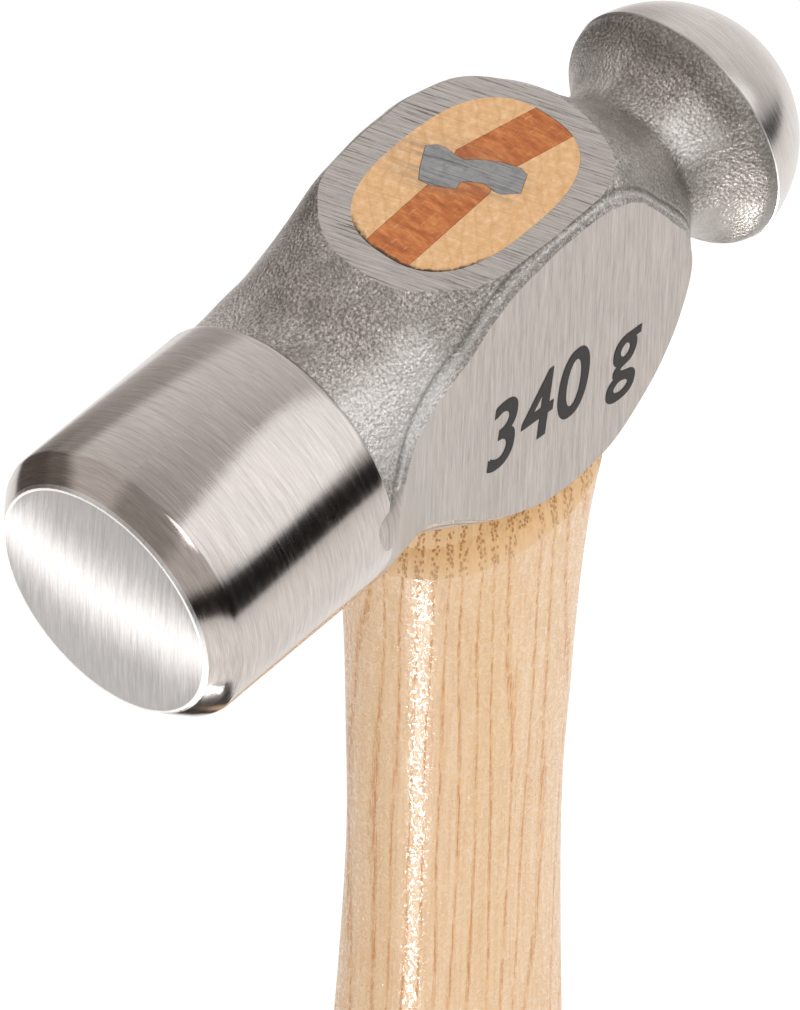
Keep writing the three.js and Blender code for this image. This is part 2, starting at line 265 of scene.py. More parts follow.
def eye_solid(bottom, top, clearance):
    """The eye from one height to another; it narrows to a waist at half height."""
    middle, half_depth = (TOP_HEIGHT - UNDER_DEPTH) / 2, (TOP_HEIGHT + UNDER_DEPTH) / 2

    def eye_point(z, angle):
        from_waist = min(abs(z - middle) / half_depth, 1)
        inset = EYE_WAIST * (1 - from_waist**2) + clearance
        radius = oval_radius(angle, EYE_HALF_LENGTH - inset, EYE_HALF_WIDTH - inset, EYE_SQUARENESS)
        return EYE_CENTRE + radius * math.cos(angle), EYE_SIDE + radius * math.sin(angle), z

    return lofted(list(np.linspace(bottom, top, 12)), eye_point, 128)


eye = eye_solid(-UNDER_DEPTH - 1, TOP_HEIGHT + 1, 0)
for face in eye.faces:
    face.material_index = CHEEK_GROUND
cut(head, as_object(eye, "eye"), "DIFFERENCE")


def cheek_reach(x):
    """How far the ground cheek stands from the middle plane."""
    back = min(max(CHEEK_SWEEP_START - x, 0), WHEEL_RADIUS)
    return CHEEK_HALF + WHEEL_RADIUS - math.sqrt(WHEEL_RADIUS**2 - back**2)


def set_in_place(made, sharp_angle):
    """Moves a piece from its own millimetres to the frame and marks its sharp edges."""
    bm = bmesh.new()
    bm.from_mesh(made.data)
    for face in bm.faces:
        face.smooth = True
    for edge in bm.edges:
        if len(edge.link_faces) == 2:
            zones = {face.material_index for face in edge.link_faces}
            edge.smooth = edge.calc_face_angle(0) < math.radians(sharp_angle if len(zones) == 1 else 6)
    bmesh.ops.scale(bm, verts=bm.verts, vec=(MM, MM, MM))
    bmesh.ops.translate(bm, verts=bm.verts, vec=(0, 0, AXIS_HEIGHT))
    bm.to_mesh(made.data)
    bm.free()


# The neck is blended into the eye block. Three measures go with each place on the head: how far it lies
# from the cheek's edge, where the ball's underside is smooth, and where a highlight is painted on the
# forging. The cheek's grinding runs on over the lower side of the forging till it meets the poll.
NO_CHEEK = 9
shaped = bmesh.new()
shaped.from_mesh(head.data)
neck = [v for v in shaped.verts if 18.3 < v.co.x < 24.3]
for _ in range(26):
    bmesh.ops.smooth_vert(shaped, verts=neck, factor=0.5, use_axis_x=True, use_axis_y=True, use_axis_z=True)
from_cheek = shaped.verts.layers.float.new("from_cheek")
smooth_patch = shaped.verts.layers.float.new("smooth_patch")
painted_highlight = shaped.verts.layers.float.new("painted_highlight")
for v in shaped.verts:
    x, climb = v.co.x, math.degrees(math.atan2(v.co.z, abs(v.co.y)))
    way_round = math.degrees(math.atan2(v.co.z, -abs(v.co.y)))
    v[from_cheek] = cheek_reach(x) - abs(v.co.y) if x < 20 else NO_CHEEK
    v[smooth_patch] = smoothstep(30 - abs(way_round + 152), 0, 8) * smoothstep(x, 19, 21)
    # Where a highlight is painted: by the poll, and at the neck below the ball.
    by_poll = smoothstep(-x, 14.5, 18.5) * smoothstep(26 - abs(climb - 46), 0, 18)
    by_ball = smoothstep(x, 20.5, 22.5) * smoothstep(26.4 - x, 0, 2)
    v[painted_highlight] = max(by_poll, by_ball * smoothstep(24 - abs(climb - 52), 0, 16))
for face in shaped.faces:
    x, y, z = face.calc_center_median()
    by_poll = x < (-21.5 if z > 0 else -19)
    if face.material_index == FORGED and by_poll and -10 < z < 4.2 and abs(y) > 6:
        face.material_index = CHEEK_GROUND
shaped.to_mesh(head.data)
shaped.free()
set_in_place(head, 32)

# ---- Head: finishes ------------------------------------------------------------------------------
# Bare steel. Blasted where it is still as forged, ground with a coarse wheel on top, brushed on the
# cheeks and along the face, and brushed round and round on the poll and the ball.


def feed(tree, made, inputs):
    """Gives each input of a node a value, or links another node's socket to it."""
    for name, value in inputs.items():
        if isinstance(value, bpy.types.NodeSocket):
            tree.links.new(value, made.inputs[name])
        else:
            made.inputs[name].default_value = value


def add(tree, kind, settings=None, inputs=None):
    made = tree.nodes.new("ShaderNode" + kind)
    for name, value in (settings or {}).items():
        setattr(made, name, value)
    feed(tree, made, inputs or {})
    return made


def math_node(tree, operation, *values):
    return add(tree, "Math", {"operation": operation}, dict(enumerate(values))).outputs[0]


def spread(tree, value, low, high, to_low=0.0, to_high=1.0):
    """Stretches a value from one range to another and holds it there."""
    return add(tree, "MapRange", {}, {"Value": value, "From Min": low, "From Max": high, "To Min": to_low,
                                      "To Max": to_high}).outputs["Result"]


def ramp(tree, value, stops):
    made = add(tree, "ValToRGB", {}, {"Fac": value})
    elements = made.color_ramp.elements
    while len(elements) < len(stops):
        elements.new(0.5)
    for element, (place, colour) in zip(elements, stops):
        element.position, element.color = place, (*colour, 1)
    return made.outputs["Color"]


def mixed(tree, share, first, second):
    """Goes from the first colour to the second by a share."""
    first, second = ((*colour, 1) if isinstance(colour, tuple) else colour for colour in (first, second))
    return add(tree, "Mix", {"data_type": "RGBA"}, {0: share, 6: first, 7: second}).outputs[2]


def noise_node(tree, vector, scale, detail=3.0, roughness=0.55):
    return add(tree, "TexNoise", {}, {"Vector": vector, "Scale": scale, "Detail": detail,
                                      "Roughness": roughness}).outputs["Fac"]


def stretched(tree, vector, factors):
    return add(tree, "VectorMath", {"operation": "MULTIPLY"}, {0: vector, 1: factors}).outputs[0]


def head_millimetres(tree):
    """Object coordinates in millimetres round the poll's axis."""
    coords = add(tree, "TexCoord").outputs["Object"]
    return add(tree, "Mapping", {}, {"Vector": coords, "Location": (0, 0, -AXIS_HEIGHT / MM),
                                     "Scale": (1 / MM, 1 / MM, 1 / MM)}).outputs[0]


def new_material(name, **constants):
    made = bpy.data.materials.new(name)
    made.use_nodes = True
    surface = made.node_tree.nodes["Principled BSDF"]
    for socket, value in constants.items():
        surface.inputs[socket.replace("_", " ")].default_value = value
    return made, made.node_tree, surface


def new_group(name, sockets_in, sockets_out):
    tree = bpy.data.node_groups.new(name, "ShaderNodeTree")
    for socket, kind, default in sockets_in:
        made = tree.interface.new_socket(name=socket, in_out="INPUT", socket_type="NodeSocket" + kind)
        if default is not None:
            made.default_value = default
    for socket, kind in sockets_out:
        tree.interface.new_socket(name=socket, in_out="OUTPUT", socket_type="NodeSocket" + kind)
    return tree, tree.nodes.new("NodeGroupInput"), tree.nodes.new("NodeGroupOutput")


def use_group(tree, group, inputs):
    made = tree.nodes.new("ShaderNodeGroup")
    made.node_tree = group
    feed(tree, made, inputs)
    return made


# Brush lines: X of the vector runs along the lines and Y across them, in millimetres.
brush_lines, given, out = new_group(
    "brush_lines", [("Vector", "Vector", None), ("Fineness", "Float", 1.0), ("Length", "Float", 1.0)],
    [("Shade", "Float"), ("Height", "Float")])
parts = add(brush_lines, "SeparateXYZ", {}, {0: given.outputs["Vector"]})
along = math_node(brush_lines, "DIVIDE", parts.outputs[0], given.outputs["Length"])
across = math_node(brush_lines, "MULTIPLY", parts.outputs[1], given.outputs["Fineness"])
laid = add(brush_lines, "CombineXYZ", {}, {0: along, 1: across, 2: parts.outputs[2]}).outputs[0]
fine = noise_node(brush_lines, stretched(brush_lines, laid, (0.45, 7.5, 0.3)), 1.0, 4.0, 0.65)
broad = noise_node(brush_lines, stretched(brush_lines, laid, (0.16, 2.1, 0.2)), 1.0, 3.0, 0.6)
both = math_node(brush_lines, "ADD", math_node(brush_lines, "MULTIPLY", fine, 0.62),
                 math_node(brush_lines, "MULTIPLY", broad, 0.38))
brush_lines.links.new(spread(brush_lines, both, 0.36, 0.64), out.inputs["Shade"])
brush_lines.links.new(both, out.inputs["Height"])

# Coarse scratches of the wheel that levelled the top: they cross steel, wood and wedges alike.
SCRATCH_TURN = math.radians(73)
wheel_scratches, given, out = new_group(
    "wheel_scratches", [("Vector", "Vector", None)], [("Scratch", "Float"), ("Height", "Float")])
turned_way = add(wheel_scratches, "VectorRotate", {"rotation_type": "Z_AXIS"},
                 {"Vector": given.outputs["Vector"], "Angle": SCRATCH_TURN}).outputs[0]
fine = noise_node(wheel_scratches, stretched(wheel_scratches, turned_way, (0.2, 6.5, 0)), 1.0, 4.0, 0.7)
deep = noise_node(wheel_scratches, stretched(wheel_scratches, turned_way, (0.11, 4.2, 0)), 1.0, 5.0, 0.8)
wheel_scratches.links.new(spread(wheel_scratches, deep, 0.47, 0.38), out.inputs["Scratch"])
wheel_scratches.links.new(math_node(wheel_scratches, "ADD", fine, deep), out.inputs["Height"])


def bump(tree, height, distance, normal=None):
    inputs = {"Height": height, "Distance": distance}
    if normal is not None:
        inputs["Normal"] = normal
    return add(tree, "Bump", {}, inputs).outputs["Normal"]


def soft_edges(tree, radius):
    return add(tree, "Bevel", {"samples": 6}, {"Radius": radius}).outputs["Normal"]


def round_and_round(tree, vector):
    """Turns the place on a turned part into (way round, way along, radius)."""
    place = add(tree, "SeparateXYZ", {}, {0: vector})
    x, y, z = place.outputs
    angle = math_node(tree, "ARCTAN2", y, math_node(tree, "MULTIPLY", z, -1.0))
    radius = math_node(tree, "SQRT", math_node(
        tree, "ADD", math_node(tree, "MULTIPLY", y, y), math_node(tree, "MULTIPLY", z, z)))
    round_way = math_node(tree, "MULTIPLY", angle, POLL_RADIUS)
    return add(tree, "CombineXYZ", {}, {0: round_way, 1: x, 2: radius}).outputs[0]


def brushed(name, dark, light, rough, depth, fineness, length, lay_out):
    """Brushed steel: lay_out turns the place in millimetres into (along, across, other)."""
    made, tree, surface = new_material(name, Metallic=1.0)
    lines = use_group(tree, brush_lines, {"Vector": lay_out(tree, head_millimetres(tree)),
                                          "Fineness": fineness, "Length": length})
    cloud = noise_node(tree, head_millimetres(tree), 0.22, 2.0)
    shade = mixed(tree, lines.outputs["Shade"], dark, light)
    tree.links.new(mixed(tree, spread(tree, cloud, 0.35, 0.65, 0.0, 0.12), shade, (0.36, 0.34, 0.33)),
                   surface.inputs["Base Color"])
    tree.links.new(spread(tree, lines.outputs["Shade"], 0, 1, *rough), surface.inputs["Roughness"])
    tree.links.new(bump(tree, lines.outputs["Height"], depth, soft_edges(tree, 0.12 * MM)),
                   surface.inputs["Normal"])
    return made


def along_z(tree, vector):
    place = add(tree, "SeparateXYZ", {}, {0: vector}).outputs
    side = math_node(tree, "ADD", place[0], math_node(tree, "MULTIPLY", place[1], 0.2))
    return add(tree, "CombineXYZ", {}, {0: place[2], 1: side, 2: place[1]}).outputs[0]


def face_lines(tree, vector):
    place = add(tree, "SeparateXYZ", {}, {0: vector}).outputs
    return add(tree, "CombineXYZ", {}, {0: place[2], 1: place[1], 2: place[0]}).outputs[0]


poll_steel = brushed("poll_steel", (0.44, 0.398, 0.37), (0.64, 0.59, 0.557), (0.10, 0.19), 0.012 * MM,
                     1.5, 1.0, round_and_round)
ball_steel = brushed("ball_steel", (0.53, 0.49, 0.46), (0.72, 0.685, 0.66), (0.20, 0.30), 0.010 * MM,
                     1.1, 1.5, round_and_round)
cheek_steel = brushed("cheek_steel", (0.32, 0.288, 0.262), (0.56, 0.515, 0.475), (0.28, 0.40), 0.030 * MM,
                      1.25, 1.5, along_z)
face_steel = brushed("face_steel", (0.35, 0.334, 0.325), (0.49, 0.474, 0.463), (0.10, 0.17), 0.012 * MM,
                     1.0, 1.6, face_lines)
# The thin chamfers round the face and the ball are painted far paler than the other steel: a painted
# highlight along the edge.
rim_highlight_steel = brushed("rim_highlight_steel", (0.75, 0.74, 0.73), (0.92, 0.91, 0.90), (0.25, 0.35), 0.005 * MM, 1.0, 1.0,
                    face_lines)

# Shot-blasted forging: close dimples that sparkle and darker patches. Painted shade darkens it towards the
# ball's rim, a painted highlight makes it paler by the poll and at the neck, and a rolled crease beside
# each cheek has painted shade in its groove and a painted highlight on its ridge.
CREASE_OFF, RIDGE_OFF = 0.85, 0.45
forged_steel, tree, surface = new_material("forged_steel", Metallic=1.0)
place = head_millimetres(tree)
dimples = add(tree, "TexVoronoi", {}, {"Vector": place, "Scale": 2.9}).outputs["Distance"]
grit = noise_node(tree, place, 3.6, 4.0, 0.7)
patches = noise_node(tree, place, 0.3, 3.0, 0.6)
reach = add(tree, "Attribute", {"attribute_name": "from_cheek"}).outputs["Fac"]
off_crease = math_node(tree, "ABSOLUTE", math_node(tree, "SUBTRACT", reach, CREASE_OFF))
off_ridge = math_node(tree, "ABSOLUTE", math_node(tree, "SUBTRACT", reach, RIDGE_OFF))
# The crease and ridge masks shape the bump below; in the colour they also paint shade into the crease and a
# highlight on the ridge.
crease_and_shade = spread(tree, off_crease, 0.0, 0.22, 1.0, 0.0)
ridge_and_highlight = spread(tree, off_ridge, 0.0, 0.2, 1.0, 0.0)
patch = add(tree, "Attribute", {"attribute_name": "smooth_patch"}).outputs["Fac"]
speck = mixed(tree, spread(tree, grit, 0.42, 0.62), (0.30, 0.272, 0.25), (0.74, 0.70, 0.66))
speck = mixed(tree, math_node(tree, "MULTIPLY", patch, 0.8), speck, (0.44, 0.415, 0.39))
toned = mixed(tree, spread(tree, patches, 0.42, 0.62, 0.0, 0.5), speck, (0.27, 0.245, 0.225))
# Painted shade: the underside darkens towards the ball's rim.
rim_shade = spread(tree, add(tree, "SeparateXYZ", {}, {0: place}).outputs[0], 24.5, 28.0, 0.0, 0.55)
toned = mixed(tree, rim_shade, toned, (0.16, 0.145, 0.13))
# A painted highlight: the forging is painted paler by the poll and at the neck.
highlight_mask = add(tree, "Attribute", {"attribute_name": "painted_highlight"}).outputs["Fac"]
toned = mixed(tree, math_node(tree, "MULTIPLY", highlight_mask, spread(tree, grit, 0.35, 0.6, 0.35, 0.8)), toned,
              (0.92, 0.89, 0.87))
# Painted shade in the crease, then a painted highlight on the ridge.
crease_shaded = mixed(tree, math_node(tree, "MULTIPLY", crease_and_shade, 0.6), toned, (0.10, 0.095, 0.09))
tree.links.new(mixed(tree, math_node(tree, "MULTIPLY", ridge_and_highlight, 0.5), crease_shaded, (0.78, 0.77, 0.76)),
               surface.inputs["Base Color"])
tree.links.new(spread(tree, grit, 0.35, 0.65, 0.40, 0.26), surface.inputs["Roughness"])
relief = math_node(tree, "ADD", math_node(tree, "MULTIPLY", dimples, 0.9), grit)
relief = math_node(tree, "ADD", relief, math_node(tree, "MULTIPLY", ridge_and_highlight, 0.5))
relief = math_node(tree, "SUBTRACT", relief, math_node(tree, "MULTIPLY", crease_and_shade, 1.2))
relief = math_node(tree, "MULTIPLY", relief, spread(tree, patch, 0.0, 1.0, 1.0, 0.5))
tree.links.new(bump(tree, relief, 0.11 * MM, soft_edges(tree, 0.2 * MM)), surface.inputs["Normal"])

# Coarsely ground top and underside.
ground_steel, tree, surface = new_material("ground_steel", Metallic=1.0)
place = head_millimetres(tree)
scratches = use_group(tree, wheel_scratches, {"Vector": place})
tone = mixed(tree, spread(tree, scratches.outputs["Height"], 0.75, 1.25),
             (0.42, 0.385, 0.36), (0.70, 0.65, 0.61))
tree.links.new(mixed(tree, math_node(tree, "MULTIPLY", scratches.outputs["Scratch"], 0.85), tone,
                     (0.12, 0.112, 0.105)), surface.inputs["Base Color"])
tree.links.new(spread(tree, scratches.outputs["Height"], 0.7, 1.3, 0.34, 0.46), surface.inputs["Roughness"])
tree.links.new(bump(tree, scratches.outputs["Height"], 0.03 * MM, soft_edges(tree, 0.12 * MM)),
               surface.inputs["Normal"])

for finish in (forged_steel, ground_steel, cheek_steel, poll_steel, face_steel, ball_steel, rim_highlight_steel):
    head.data.materials.append(finish)
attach(head, "root")
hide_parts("head")

# ---- Wedges --------------------------------------------------------------------------------------
# A reddish-brown hardwood wedge spreads the tenon along the eye. A barbed steel wedge is driven across it.
# Both are ground down level with the head's top.
HAIRLINE = 0.05
WOOD_DEPTH, WOOD_TIP = 24, 0.33
STEEL_DEPTH, STEEL_TIP = 12, 0.35
wood_outline = [(-14.7, -3.25), (-1.6, -2.75), (0.4, -1.95), (10.3, -4.05), (10.3, 0.85), (0.4, 2.95),
                (-1.6, 2.15), (-14.7, 1.65)]
steel_outline = [(-4.86, 2.06), (-3.86, 2.46), (-2.86, 2.22), (-2.0, 1.62), (-1.14, 1.30), (0.43, 1.72),
                 (2.29, 1.86), (4.15, 1.62), (4.86, 1.0), (4.86, -1.34), (3.15, -1.96), (2.4, -1.7),
                 (1.57, -1.13), (0.14, -1.13), (-0.72, -1.37), (-0.9, -2.32), (-3.15, -2.56),
                 (-4.43, -2.15), (-4.7, -0.57)]


def wedge(outline, depth, tip_share, swell):
    """A wedge from its outline on the head's top; swell makes the slot that it sits in."""
    bm = bmesh.new()
    face = bm.faces.new([bm.verts.new((x, y, TOP_HEIGHT + swell)) for x, y in outline])
    sunk = bmesh.ops.extrude_face_region(bm, geom=[face])
    tip = [v for v in sunk["geom"] if isinstance(v, bmesh.types.BMVert)]
    bmesh.ops.translate(bm, verts=tip, vec=(0, 0, -depth - 2 * swell))
    bmesh.ops.scale(bm, verts=tip, vec=(1, tip_share, 1))
    bmesh.ops.recalc_face_normals(bm, faces=bm.faces)
    for v in bm.verts:
        v.co.xy += v.normal.xy.normalized() * swell
    return bm


def steel_wedge_mesh(swell):
    bm = wedge(steel_outline, STEEL_DEPTH, STEEL_TIP, swell)
    bmesh.ops.rotate(bm, verts=bm.verts, cent=(0, 0, 0), matrix=Matrix.Rotation(math.radians(-63), 3, "Z"))
    bmesh.ops.translate(bm, verts=bm.verts, vec=(-0.7, 0.1, 0))
    return bm


wood_wedge = as_object(wedge(wood_outline, WOOD_DEPTH, WOOD_TIP, 0), "hardwood_wedge")
cut(wood_wedge, as_object(eye_solid(-UNDER_DEPTH, TOP_HEIGHT + 1, HAIRLINE), "eye"), "INTERSECT")
cut(wood_wedge, as_object(steel_wedge_mesh(HAIRLINE), "slot"), "DIFFERENCE")
steel_wedge = as_object(steel_wedge_mesh(0), "barbed_wedge")
for made in (wood_wedge, steel_wedge):
    set_in_place(made, 25)

wedge_steel, tree, surface = new_material("wedge_steel", Metallic=1.0)
place = head_millimetres(tree)
scratches = use_group(tree, wheel_scratches, {"Vector": place})
blotch = noise_node(tree, place, 1.1, 4.0, 0.65)
tone = mixed(tree, spread(tree, scratches.outputs["Height"], 0.75, 1.25),
             (0.28, 0.28, 0.285), (0.52, 0.52, 0.52))
tone = mixed(tree, spread(tree, blotch, 0.45, 0.7, 0.0, 0.4), tone, (0.22, 0.215, 0.21))
tree.links.new(mixed(tree, math_node(tree, "MULTIPLY", scratches.outputs["Scratch"], 0.6), tone,
                     (0.08, 0.08, 0.08)), surface.inputs["Base Color"])
tree.links.new(spread(tree, blotch, 0.3, 0.7, 0.36, 0.52), surface.inputs["Roughness"])
tree.links.new(bump(tree, scratches.outputs["Height"], 0.03 * MM, soft_edges(tree, 0.1 * MM)),
               surface.inputs["Normal"])
steel_wedge.data.materials.append(wedge_steel)

# Grey smears of steel that the wheel dragged over the wood next to the steel wedge.
steel_smears, given, out = new_group("steel_smears", [("Vector", "Vector", None)], [("Smear", "Float")])
near = add(steel_smears, "Mapping", {"vector_type": "TEXTURE"}, {
    "Vector": given.outputs["Vector"], "Location": (-1.4, 1.6, TOP_HEIGHT),
    "Rotation": (0, 0, math.radians(-68)), "Scale": (8.5, 4.2, 30)}).outputs[0]
far = add(steel_smears, "VectorMath", {"operation": "LENGTH"}, {0: near}).outputs["Value"]
streaks = add(steel_smears, "VectorRotate", {"rotation_type": "Z_AXIS"},
              {"Vector": given.outputs["Vector"], "Angle": SCRATCH_TURN}).outputs[0]
streaks = noise_node(steel_smears, stretched(steel_smears, streaks, (0.12, 1.6, 0)), 1.0, 4.0, 0.6)
steel_smears.links.new(math_node(
    steel_smears, "MULTIPLY", spread(steel_smears, far, 0.35, 1.0, 1.0, 0.0),
    spread(steel_smears, streaks, 0.42, 0.62)), out.inputs["Smear"])

# Scorched, torn fibres along the end of the eye next to the poll.
torn_edge, given, out = new_group("torn_edge", [("Vector", "Vector", None)], [("Torn", "Float")])
from_middle = add(torn_edge, "Mapping", {"vector_type": "TEXTURE"}, {
    "Vector": given.outputs["Vector"], "Location": (EYE_CENTRE, EYE_SIDE, 0),
    "Scale": (EYE_HALF_LENGTH, EYE_HALF_WIDTH, 1)}).outputs[0]
parts = add(torn_edge, "SeparateXYZ", {}, {0: add(
    torn_edge, "VectorMath", {"operation": "ABSOLUTE"}, {0: from_middle}).outputs[0]}).outputs
reach = math_node(torn_edge, "ADD", math_node(torn_edge, "POWER", parts[0], EYE_SQUARENESS),
                  math_node(torn_edge, "POWER", parts[1], EYE_SQUARENESS))
ragged = noise_node(torn_edge, stretched(torn_edge, given.outputs["Vector"], (1, 1, 0)), 1.3, 4.0, 0.7)
reach = math_node(torn_edge, "ADD", reach, math_node(torn_edge, "MULTIPLY", ragged, 0.3))
towards = add(torn_edge, "VectorMath", {"operation": "DOT_PRODUCT"}, {0: from_middle, 1: (-0.97, -0.25, 0)})
torn_edge.links.new(math_node(torn_edge, "MULTIPLY", spread(torn_edge, reach, 1.04, 1.12), spread(
    torn_edge, towards.outputs["Value"], 0.62, 0.8)), out.inputs["Torn"])

wedge_wood, tree, surface = new_material("wedge_wood")
place = head_millimetres(tree)
scratches = use_group(tree, wheel_scratches, {"Vector": place})
smears = use_group(tree, steel_smears, {"Vector": place})
figure = noise_node(tree, stretched(tree, place, (1.4, 0.5, 0.15)), 1.0, 4.0, 0.6)
flecks = noise_node(tree, stretched(tree, place, (0.55, 3.0, 0.3)), 1.0, 3.0, 0.6)
tone = ramp(tree, figure, [
    (0.34, (0.40, 0.10, 0.02)), (0.5, (0.54, 0.165, 0.04)), (0.68, (0.70, 0.27, 0.085))])
tone = mixed(tree, spread(tree, flecks, 0.6, 0.72, 0.0, 0.55), tone, (0.78, 0.46, 0.24))
tone = mixed(tree, math_node(tree, "MULTIPLY", scratches.outputs["Scratch"], 0.45), tone,
             (0.22, 0.08, 0.03))
tone = mixed(tree, math_node(tree, "MULTIPLY", smears.outputs[0], 0.6), tone, (0.13, 0.11, 0.10))
burnt = use_group(tree, torn_edge, {"Vector": place}).outputs[0]
tree.links.new(mixed(tree, burnt, tone, (0.07, 0.035, 0.015)), surface.inputs["Base Color"])
tree.links.new(spread(tree, figure, 0.3, 0.7, 0.5, 0.65), surface.inputs["Roughness"])
tree.links.new(bump(tree, scratches.outputs["Height"], 0.03 * MM), surface.inputs["Normal"])
wood_wedge.data.materials.append(wedge_wood)

for made, node, slot in (
        (wood_wedge, "wood_wedge", "wedge_wood"), (steel_wedge, "steel_wedge", "wedge_steel")):
    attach(made, "root")
    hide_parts(node)

# ---- Handle --------------------------------------------------------------------------------------
# One piece of ash, turned oval and lacquered. The shoulder under the head is cut back and bare, and the
# tenon above it fills the eye, slit for the wooden wedge.
LACQUERED, BARE, END_GRAIN = range(3)
BUTT_Z = -AXIS_HEIGHT / MM
SEAT_Z = -UNDER_DEPTH - 0.08
THROAT_Z = -82
GRIP_Z = BUTT_Z + 96
BUTT_ROUND = 5
SHOULDER_SLOPE = 5.9
SHOULDER_INSET = 2.6
HANDLE_SQUARENESS = 2.15
RING_WIDTH = 1.55
middle = (THROAT_Z - GRIP_Z) / 2
rise = SEAT_Z - THROAT_Z


def handle_curve(butt, grip, throat, shoulder):
    return smooth_curve([
        (BUTT_Z, butt), (BUTT_Z + 43, (butt + grip) / 2), (GRIP_Z, grip),
        (GRIP_Z + middle, throat + (grip - throat) * 0.55), (THROAT_Z, throat),
        (THROAT_Z + rise * 0.42, throat + (shoulder - throat) * 0.08),
        (THROAT_Z + rise * 0.75, throat + (shoulder - throat) * 0.38), (SEAT_Z, shoulder)])


half_length = handle_curve(15.2, 16.6, 11.8, 15.3)
half_width = handle_curve(11.6, 12.4, 8.5, 11.0)


def handle_point(z, angle):
    from_butt = min(max(BUTT_ROUND - (z - BUTT_Z), 0), BUTT_ROUND)
    inset = BUTT_ROUND - math.sqrt(BUTT_ROUND**2 - from_butt**2)
    inset += SHOULDER_INSET * min(max(1 - (SEAT_Z - z) / SHOULDER_SLOPE, 0), 1) ** 1.25
    radius = oval_radius(angle, half_length(z) - inset, half_width(z) - inset, HANDLE_SQUARENESS)
    return radius * math.cos(angle), radius * math.sin(angle), z


rings = [BUTT_Z + BUTT_ROUND * (1 - math.cos(a)) for a in np.linspace(0, math.pi / 2, 9)]
rings += list(np.linspace(BUTT_Z + BUTT_ROUND, SEAT_Z - SHOULDER_SLOPE, 110)[1:])
rings += list(np.linspace(SEAT_Z - SHOULDER_SLOPE, SEAT_Z, 9)[1:])
handle = as_object(lofted(rings, handle_point, 128), "ash_handle")
cut(handle, as_object(eye_solid(SEAT_Z - 2, TOP_HEIGHT, HAIRLINE), "tenon"), "UNION")
cut(handle, as_object(wedge(wood_outline, WOOD_DEPTH, WOOD_TIP, HAIRLINE), "kerf"), "DIFFERENCE")
cut(handle, as_object(steel_wedge_mesh(HAIRLINE), "slot"), "DIFFERENCE")
for face in handle.data.polygons:
    x, y, z = face.center
    if z > SEAT_Z - SHOULDER_SLOPE:
        face.material_index = BARE
    if abs(face.normal.z) > 0.97 and (z > TOP_HEIGHT - 1 or z < BUTT_Z + 1):
        face.material_index = END_GRAIN
set_in_place(handle, 25)

# Ash grain: year rings cross the handle as upright rows of open pores, drawn out along the wood.
ash_grain, given, out = new_group(
    "ash_grain", [("Vector", "Vector", None)],
    [("Row", "Float"), ("Band", "Float"), ("Pore", "Float"), ("Fibre", "Float")])
wander = noise_node(ash_grain, stretched(ash_grain, given.outputs["Vector"], (0.12, 0.12, 0.008)), 1.0, 2.0)
parts = add(ash_grain, "SeparateXYZ", {}, {0: given.outputs["Vector"]}).outputs
ring_way = math_node(ash_grain, "SUBTRACT", math_node(ash_grain, "MULTIPLY", parts[0], 0.66),
                     math_node(ash_grain, "MULTIPLY", parts[1], 0.75))
ring_way = math_node(ash_grain, "ADD", ring_way, math_node(ash_grain, "MULTIPLY", wander, 5.0))
turns = math_node(ash_grain, "FRACT", math_node(ash_grain, "DIVIDE", ring_way, RING_WIDTH))
off_row = math_node(ash_grain, "ABSOLUTE", math_node(ash_grain, "SUBTRACT", turns, 0.5))
row = spread(ash_grain, off_row, 0.03, 0.15, 1.0, 0.0)
ash_grain.links.new(spread(ash_grain, off_row, 0.18, 0.30, 1.0, 0.0), out.inputs["Band"])
along_wood = given.outputs["Vector"]
dashes = noise_node(ash_grain, stretched(ash_grain, along_wood, (6.0, 6.0, 0.2)), 1.0, 2.0, 0.5)
fibre = noise_node(ash_grain, stretched(ash_grain, along_wood, (2.4, 2.4, 0.05)), 1.0, 5.0, 0.6)
ash_grain.links.new(row, out.inputs["Row"])
ash_grain.links.new(math_node(ash_grain, "MULTIPLY", spread(ash_grain, dashes, 0.50, 0.58), row),
                    out.inputs["Pore"])
ash_grain.links.new(fibre, out.inputs["Fibre"])

# Under the head the wood is pale between orange rows. The lacquer over it is thin and a little uneven.
lacquered_ash, tree, surface = new_material("lacquered_ash", Coat_Roughness=0.12, Specular_IOR_Level=0.15)
place = head_millimetres(tree)
grain = use_group(tree, ash_grain, {"Vector": place}).outputs
pale = ramp(tree, grain["Fibre"], [
    (0.3, (0.82, 0.515, 0.28)), (0.5, (0.90, 0.62, 0.37)), (0.7, (0.95, 0.69, 0.45))])
broad = noise_node(tree, stretched(tree, place, (0.22, 0.22, 0.006)), 1.0, 2.0)
pale = mixed(tree, spread(tree, broad, 0.4, 0.65, 0.0, 0.6), pale, (0.84, 0.56, 0.29))
tone = mixed(tree, math_node(tree, "MULTIPLY", grain["Row"], 0.55), pale, (0.82, 0.43, 0.16))
tone = mixed(tree, math_node(tree, "MULTIPLY", grain["Pore"], 0.75), tone, (0.64, 0.24, 0.05))
sheen = spread(tree, noise_node(tree, stretched(tree, place, (2.5, 2.5, 1.6)), 1.0, 2.0, 0.6), 0.47, 0.53)
tree.links.new(mixed(tree, math_node(tree, "MULTIPLY", sheen, 0.14), tone, (0.96, 0.78, 0.57)),
               surface.inputs["Base Color"])
tree.links.new(spread(tree, grain["Fibre"], 0.3, 0.7, 0.5, 0.4), surface.inputs["Roughness"])
ripple = noise_node(tree, stretched(tree, place, (1.6, 1.6, 4.0)), 1.0, 3.0, 0.6)
waves = math_node(tree, "ADD", math_node(tree, "MULTIPLY", ripple, 0.5), sheen)
wood_waves = math_node(tree, "SUBTRACT", math_node(tree, "ADD", waves, grain["Fibre"]), grain["Pore"])
tree.links.new(bump(tree, wood_waves, 0.035 * MM), surface.inputs["Normal"])
